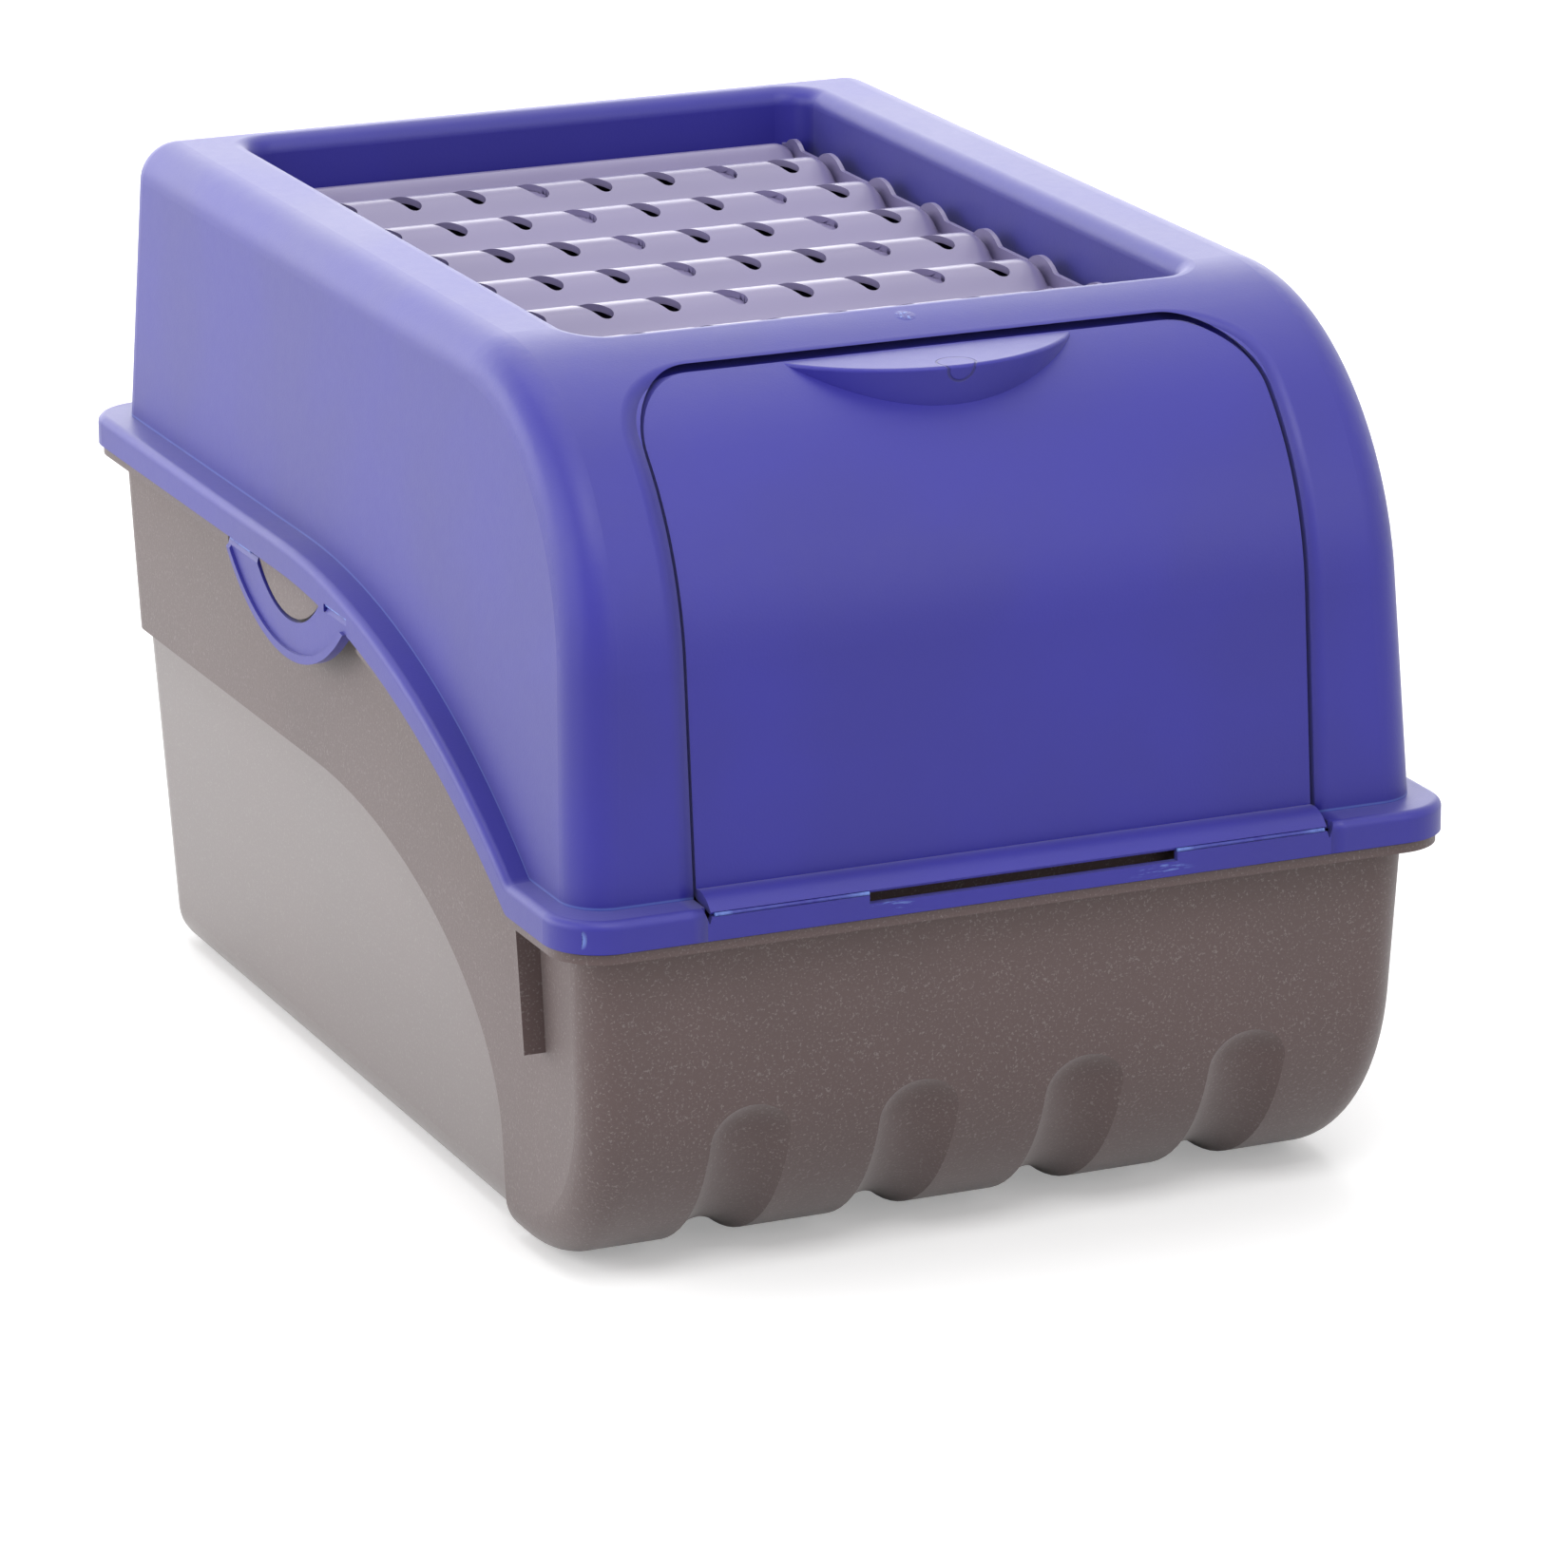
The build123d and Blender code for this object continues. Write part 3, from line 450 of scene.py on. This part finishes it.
def tub_plastic(settings):
    """Taupe plastic with pale specks; its sunken side panels are smoother."""
    plastic = Moulding("tub_plastic")
    speck = plastic.noise(settings.speckle_size, 2.0, 0.7)
    grain = plastic.noise(settings.speckle_size * 1.2, 3.0, 0.6)
    cloud = plastic.noise(TUB_CLOUD)
    colour = plastic.blend(cloud.ramp(0.35, 0.65), tuple(settings.colour), shade(settings.colour, 1.1))
    colour = plastic.blend(speck.ramp(0.55, 0.7) * 0.5, colour, tuple(settings.speckle))

    # inside the level top and the quarter ellipse of a side panel
    ahead = (settings.panel_front + settings.panel_depth - plastic.y).at_least(0.0) / settings.panel_depth
    above = (plastic.z - settings.panel_top + settings.panel_height).at_least(0.0) / settings.panel_height
    reach = (ahead * ahead + above * above).root()
    panel = reach.ramp(1.004, 0.992) * (abs(plastic.facing[0]) > 0.8)
    roughness = settings.roughness + (cloud - 0.5) * 0.08 - panel * 0.12
    relief = grain * settings.grain_depth * (1.0 - panel * 0.6)
    coat = panel * settings.panel_coat
    return plastic.finish(colour, roughness, relief, coat=coat, sheen=settings.sheen)


def tray_plastic(settings):
    """Smooth satin plastic of the vent tray."""
    plastic = Moulding("tray_plastic")
    cloud = plastic.noise(TRAY_CLOUD)
    fine = plastic.noise(TRAY_GRAIN, 3.0, 0.6)
    colour = plastic.blend(cloud.ramp(0.35, 0.65), tuple(settings.colour), shade(settings.colour, 1.08))
    roughness = settings.roughness + (cloud - 0.5) * 0.06 + (fine - 0.5) * 0.04
    return plastic.finish(colour, roughness, fine * TRAY_GRAIN_DEPTH)


def paint(piece, material):
    """Gives a piece one material."""
    piece.data.materials.clear()
    piece.data.materials.append(material)


# ------------------------------------------------------------------ vent tray
CUTTER_LENGTH = 0.04  # of the vent cutters, from well below the plate to well above a rib
ARCH_DROP = 0.0006  # crest of the plain rib to the top of its low arch
RIM_BLEND = 0.0012  # softness where an arch runs into the rim
SHARP_BEND = 0.6  # edges that turn more than this, in radians, stay sharp


class ShapeTree(Graph):
    """A geometry tree whose group inputs are named as they are asked for."""

    def __init__(self, name):
        super().__init__(bpy.data.node_groups.new(name, "GeometryNodeTree"))
        self.tree.interface.new_socket("Geometry", in_out="OUTPUT", socket_type="NodeSocketGeometry")
        self.given = {}
        self.inlet = self.node("NodeGroupInput")

    def ask(self, name, value, kind="NodeSocketFloat"):
        """A named input of the group with the value that the object will get."""
        socket = self.tree.interface.new_socket(name, in_out="INPUT", socket_type=kind)
        self.given[socket.identifier] = value
        return Wire(self.tree, self.inlet.outputs[name])

    def move(self, mesh, offset=None, position=None):
        sockets = {"Geometry": mesh}
        if offset is not None:
            sockets["Offset"] = offset
        if position is not None:
            sockets["Position"] = position
        return self.wire("GeometryNodeSetPosition", None, sockets)

    def row(self, mesh, count, start, step):
        """Copies of a mesh in a row, as one mesh."""
        line = self.wire(
            "GeometryNodeMeshLine", None, {"Count": count, "Start Location": start, "Offset": step}
        )
        copies = self.wire("GeometryNodeInstanceOnPoints", None, {"Points": line, "Instance": mesh})
        return self.wire("GeometryNodeRealizeInstances", None, {"Geometry": copies})

    def build(self, name, mesh, material):
        """Runs the tree on a new object and leaves it a plain mesh."""
        smooth = self.wire("GeometryNodeSetShadeSmooth", None, {0: mesh})
        bend = self.wire("GeometryNodeInputMeshEdgeAngle")
        sockets = {0: smooth, "Selection": bend > SHARP_BEND, "Shade Smooth": False}
        mesh = self.wire("GeometryNodeSetShadeSmooth", {"domain": "EDGE"}, sockets)
        mesh = self.wire("GeometryNodeRealizeInstances", None, {"Geometry": mesh})
        mesh = self.wire("GeometryNodeSetMaterial", None, {"Geometry": mesh, "Material": material})
        self.node("NodeGroupOutput", None, {0: mesh})

        piece = bpy.data.objects.new(name, bpy.data.meshes.new(name))
        bpy.context.scene.collection.objects.link(piece)
        modifier = piece.modifiers.new(name, "NODES")
        modifier.node_group = self.tree
        for identifier, value in self.given.items():
            modifier[identifier] = value
        graph = bpy.context.evaluated_depsgraph_get()
        piece.data = bpy.data.meshes.new_from_object(piece.evaluated_get(graph))
        piece.modifiers.remove(modifier)
        return piece


def tray_tree(form):
    """The tray: a corrugated plate with slanting vents, round rib ends and arched side rims."""
    tree = ShapeTree("vent_tray")
    edge = tree.ask("Half width", form.edge)
    pitch = tree.ask("Rib pitch", form.pitch)
    ribs = tree.ask("Ribs", form.ribs, "NodeSocketInt")
    rib_height = tree.ask("Rib height", form.rib_height)
    plate = tree.ask("Plate thickness", form.plate)
    vents = tree.ask("Vents", form.vents, "NodeSocketInt")
    vent_pitch = tree.ask("Vent pitch", form.vent_pitch)
    vent_width = tree.ask("Vent width", form.vent_width)
    vent_length = tree.ask("Vent length", form.vent_length)
    slant = tree.ask("Vent slant", form.vent_slant)
    half = edge - form.rim_wall
    x, y, z = tree.split(tree.wire("GeometryNodeInputPosition"))

    def ribbed(depth, height, steps):
        """A strip of plate with one rib across it, its middle at y = 0."""
        size = tree.join(half * 2.0, depth, plate)
        sockets = {"Size": size, "Vertices X": 161, "Vertices Y": steps, "Vertices Z": 2}
        strip = tree.wire("GeometryNodeMeshCube", None, sockets)
        reach = depth * 0.5
        crest = (y / reach * math.pi).cosine() * 0.5 + 0.5
        past = (abs(x) - (half - reach)).at_least(0.0)
        inward = reach - (y * y + past * past).root()
        rise = (inward / form.rib_end).held(0.0, 1.0)
        near_end = (past > 0.0) * (1.0 - (1.0 - (1.0 - rise) ** 2.0).root())
        lift = crest * (1.0 - near_end) * height
        return tree.move(strip, tree.join(0.0, 0.0, lift + (form.plate_top - plate * 0.5)))

    # one vented rib, then a row of them
    sockets = {"Vertices": 32, "Radius": vent_width * 0.5, "Depth": CUTTER_LENGTH}
    cutter = tree.wire("GeometryNodeMeshCylinder", None, sockets)
    straight = (vent_length - vent_width) * ((y > 0.0) - 0.5)
    cutter = tree.move(cutter, tree.join(0.0, straight, form.plate_top))
    place = tree.wire("GeometryNodeInputPosition")
    sockets = {"Vector": place, "Angle": slant}
    turned = tree.wire("ShaderNodeVectorRotate", {"rotation_type": "Z_AXIS"}, sockets)
    cutter = tree.move(cutter, position=turned)
    start = tree.join((vents - 1.0) * vent_pitch * -0.5 - form.vent_shift, 0.0, 0.0)
    cutters = tree.row(cutter, vents, start, tree.join(vent_pitch, 0.0, 0.0))
    rib = ribbed(pitch, rib_height, 49)
    rib = tree.wire("GeometryNodeMeshBoolean", {"operation": "DIFFERENCE"}, {0: rib, 1: cutters})
    field = tree.row(rib, ribs, (0.0, form.first_rib, 0.0), tree.join(0.0, pitch * -1.0, 0.0))

    # plain strips behind and in front of them
    back_depth = form.back - form.first_rib - pitch * 0.5
    back_strip = ribbed(back_depth, form.back_rib_height, 33)
    back_strip = tree.move(back_strip, tree.join(0.0, form.back - back_depth * 0.5, 0.0))
    front_depth = form.first_rib - pitch * (ribs - 0.5) - form.front
    front_size = tree.join(half * 2.0, front_depth, plate)
    front_strip = tree.wire("GeometryNodeMeshCube", None, {"Size": front_size})
    front_place = tree.join(0.0, front_depth * 0.5 + form.front, form.plate_top - plate * 0.5)
    front_strip = tree.move(front_strip, front_place)

    # upright rims that arch over the rib ends
    length = form.back - form.front
    middle = (form.back + form.front) / 2
    size = (form.rim_wall, length, form.plate)
    sockets = {"Size": size, "Vertices X": 2, "Vertices Y": 600, "Vertices Z": 2}
    rim = tree.wire("GeometryNodeMeshCube", None, sockets)
    along = y + middle
    off_rib = (along - form.first_rib).folded(pitch * 0.5)
    behind = along > (pitch * 0.5 + form.first_rib)
    ahead = along < (form.first_rib - pitch * (ribs - 0.5))
    arch = (form.arch_radius**2 - off_rib * off_rib).root() - form.arch_radius
    off_back = along - (form.back - back_depth * 0.5)
    low_arch = (form.back_arch_radius**2 - off_back * off_back).root() - form.back_arch_radius
    low_arch = low_arch - (form.rim_top - form.back_rib_height - ARCH_DROP)
    arch = arch * (1.0 - behind) + low_arch * behind - ahead * form.rim_top
    top = (arch + form.rim_top).soft_at_least(form.rim_height, RIM_BLEND)
    lift = (z > 0.0) * top + (form.plate_top - form.plate / 2)
    rim = tree.move(rim, tree.join(0.0, middle, lift))
    shift = tree.join(edge - form.rim_wall / 2, 0.0, 0.0)
    right = tree.move(rim, shift)
    back_shift = tree.wire("ShaderNodeVectorMath", {"operation": "SCALE"}, {0: shift, "Scale": -1.0})
    left = tree.move(rim, back_shift)
    parts = [field, back_strip, front_strip, right, left]
    return tree, tree.wire("GeometryNodeJoinGeometry", None, {0: parts})


# ------------------------------------------------------------------ pieces
class BIN_OT_tub(bpy.types.Operator):
    """Give the tub its speckled taupe plastic"""

    bl_idname = "storage_bin.tub"
    bl_label = "Tub"

    def execute(self, context):
        paint(NODES["storage_tub"], tub_plastic(context.scene.bin_tub))
        return {"FINISHED"}


class BIN_OT_hood(bpy.types.Operator):
    """Give the hood its blue plastic, with its rolled doorway edge and marks"""

    bl_idname = "storage_bin.hood"
    bl_label = "Hood"

    def execute(self, context):
        paint(NODES["hood"], blue_plastic("hood_plastic", context.scene.bin_blue, hood_details))
        return {"FINISHED"}


class BIN_OT_flap(bpy.types.Operator):
    """Give the front flap its blue plastic"""

    bl_idname = "storage_bin.flap"
    bl_label = "Front flap"

    def execute(self, context):
        paint(NODES["front_flap"], blue_plastic("flap_plastic", context.scene.bin_blue, flap_details))
        return {"FINISHED"}


class BIN_OT_tray(bpy.types.Operator):
    """Build the vent tray with its rounded ribs, slanting vents and arched rims"""

    bl_idname = "storage_bin.tray"
    bl_label = "Vent tray"

    def execute(self, context):
        form = context.scene.bin_tray
        tree, mesh = tray_tree(form)
        tray = tree.build("tray_of_ribs", mesh, tray_plastic(form))
        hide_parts("vent_tray")
        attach(tray, ROOT)
        return {"FINISHED"}


class BIN_OT_latches(bpy.types.Operator):
    """Give the latches and film hinges their plastic"""

    bl_idname = "storage_bin.latches"
    bl_label = "Latches and film hinges"

    def execute(self, context):
        settings = context.scene.bin_blue
        plastic = blue_plastic("latch_plastic", settings)
        film = film_plastic(settings)
        for name, node in NODES.items():
            if "film_hinge" in name:
                paint(node, film)
            elif name.startswith("latch"):
                paint(node, plastic)
        return {"FINISHED"}


# ------------------------------------------------------------------ studio
# place and size of each soft light; its power is the setting of the same name
LIGHTS = {
    "left_light": ((-1.9, -0.3, 1.0), (1.4, 1.4)),
    "top_light": ((0.1, 0.4, 1.9), (1.6, 1.6)),
    "front_light": ((0.7, -2.1, 1.1), (1.2, 1.2)),
    "brow_light": ((-0.2, -1.3, 1.9), (1.2, 0.9)),
    "back_light": ((0.4, 2.4, 0.9), (3.6, 1.6)),
    "rear_left_light": ((-2.2, 1.6, 0.7), (2.0, 1.2)),
}
AIM = (0.0, 0.0, 0.12)  # middle of the bin
FLOOR_HALF_SIZE = 6
FLOOR_GAP = 0.0002  # between the floor and the underside


def soft_light(name, place, size, power):
    """A rectangular light that looks at the middle of the bin."""
    data = bpy.data.lights.new(name, "AREA")
    data.shape = "RECTANGLE"
    data.size, data.size_y = size
    data.energy = power
    lamp = bpy.data.objects.new(name, data)
    lamp.location = place
    towards = Vector(AIM) - Vector(place)
    lamp.rotation_euler = towards.to_track_quat("-Z", "Y").to_euler()
    bpy.context.scene.collection.objects.link(lamp)


def white_room(settings):
    """White to the camera and in reflections, and softer as a light."""
    world = bpy.data.worlds.new("white_room")
    world.use_nodes = True
    bpy.context.scene.world = world
    graph = Graph(world.node_tree)
    seen = graph.wire("ShaderNodeLightPath", output="Is Camera Ray")
    glossy = graph.wire("ShaderNodeLightPath", output="Is Glossy Ray")
    through = graph.wire("ShaderNodeLightPath", output="Is Transmission Ray")
    mirrored = glossy.at_least(through) * (1.0 - seen)
    plain = 1.0 - seen.at_least(mirrored)
    strength = seen + mirrored * settings.mirror + plain * settings.ambient
    light = graph.wire("ShaderNodeBackground", None, {"Color": (1, 1, 1, 1), "Strength": strength})
    graph.node("ShaderNodeOutputWorld", None, {"Surface": light})


def floor_material(settings):
    """Pale matt floor that reads as white where no shadow falls."""
    material = bpy.data.materials.new("studio_floor")
    material.use_nodes = True
    graph = Graph(material.node_tree)
    seen = graph.wire("ShaderNodeLightPath", output="Is Camera Ray")
    matt = graph.wire("ShaderNodeBsdfDiffuse", None, {"Color": (0.9, 0.9, 0.9, 1)})
    glow = graph.wire("ShaderNodeEmission", None, {"Strength": seen * settings.floor_glow})
    both = graph.wire("ShaderNodeAddShader", None, {0: matt, 1: glow})
    graph.node("ShaderNodeOutputMaterial", None, {"Surface": both})
    return material


def studio_floor(settings):
    """A wide flat floor just under the bin."""
    mesh = bpy.data.meshes.new("studio_floor")
    form = bmesh.new()
    bmesh.ops.create_grid(form, x_segments=1, y_segments=1, size=FLOOR_HALF_SIZE)
    form.to_mesh(mesh)
    form.free()
    mesh.materials.append(floor_material(settings))
    floor = bpy.data.objects.new("studio_floor", mesh)
    floor.location.z = CAD_BOX[0][2] - FLOOR_GAP
    bpy.context.scene.collection.objects.link(floor)


def studio_camera(settings):
    """The photo's own camera."""
    data = bpy.data.cameras.new("camera")
    data.lens = settings.lens
    data.sensor_width = 36
    data.clip_start, data.clip_end = 0.05, 30
    camera = bpy.data.objects.new("camera", data)
    pan = Matrix.Rotation(-settings.yaw, 4, "Z")
    tilt = Matrix.Rotation(math.pi / 2 - settings.pitch, 4, "X")
    roll = Matrix.Rotation(settings.roll, 4, "Z")
    camera.matrix_world = Matrix.Translation(settings.camera_place) @ pan @ tilt @ roll
    bpy.context.scene.collection.objects.link(camera)
    bpy.context.scene.camera = camera


class BIN_OT_studio(bpy.types.Operator):
    """Set up the floor, the lights and the camera"""

    bl_idname = "storage_bin.studio"
    bl_label = "Studio"

    def execute(self, context):
        settings = context.scene.bin_studio
        context.scene.view_settings.view_transform = "Standard"
        studio_floor(settings)
        white_room(settings)
        for name, (place, size) in LIGHTS.items():
            soft_light(name, place, size, getattr(settings, name))
        studio_camera(settings)
        return {"FINISHED"}


# ------------------------------------------------------------------ add-on
STEPS = (BIN_OT_tub, BIN_OT_hood, BIN_OT_flap, BIN_OT_tray, BIN_OT_latches, BIN_OT_studio)
SETTINGS = {"bin_blue": BlueFinish, "bin_tub": TubFinish, "bin_tray": TrayForm, "bin_studio": Studio}


class BIN_PT_sidebar(bpy.types.Panel):
    """Lists the pieces of the storage bin"""

    bl_idname = "BIN_PT_sidebar"
    bl_label = "Storage bin"
    bl_space_type = "VIEW_3D"
    bl_region_type = "UI"
    bl_category = "Storage bin"

    def draw(self, context):
        for step in STEPS:
            self.layout.operator(step.bl_idname)


def register():
    for group in SETTINGS.values():
        bpy.utils.register_class(group)
    for step in STEPS:
        bpy.utils.register_class(step)
    bpy.utils.register_class(BIN_PT_sidebar)
    for name, group in SETTINGS.items():
        setattr(bpy.types.Scene, name, PointerProperty(type=group))


def unregister():
    for name in SETTINGS:
        delattr(bpy.types.Scene, name)
    bpy.utils.unregister_class(BIN_PT_sidebar)
    for step in reversed(STEPS):
        bpy.utils.unregister_class(step)
    for group in SETTINGS.values():
        bpy.utils.unregister_class(group)


def main():
    register()
    for operator in (
        bpy.ops.storage_bin.tub,
        bpy.ops.storage_bin.hood,
        bpy.ops.storage_bin.flap,
        bpy.ops.storage_bin.tray,
        bpy.ops.storage_bin.latches,
        bpy.ops.storage_bin.studio,
    ):
        operator()


if __name__ == "__main__":
    main()
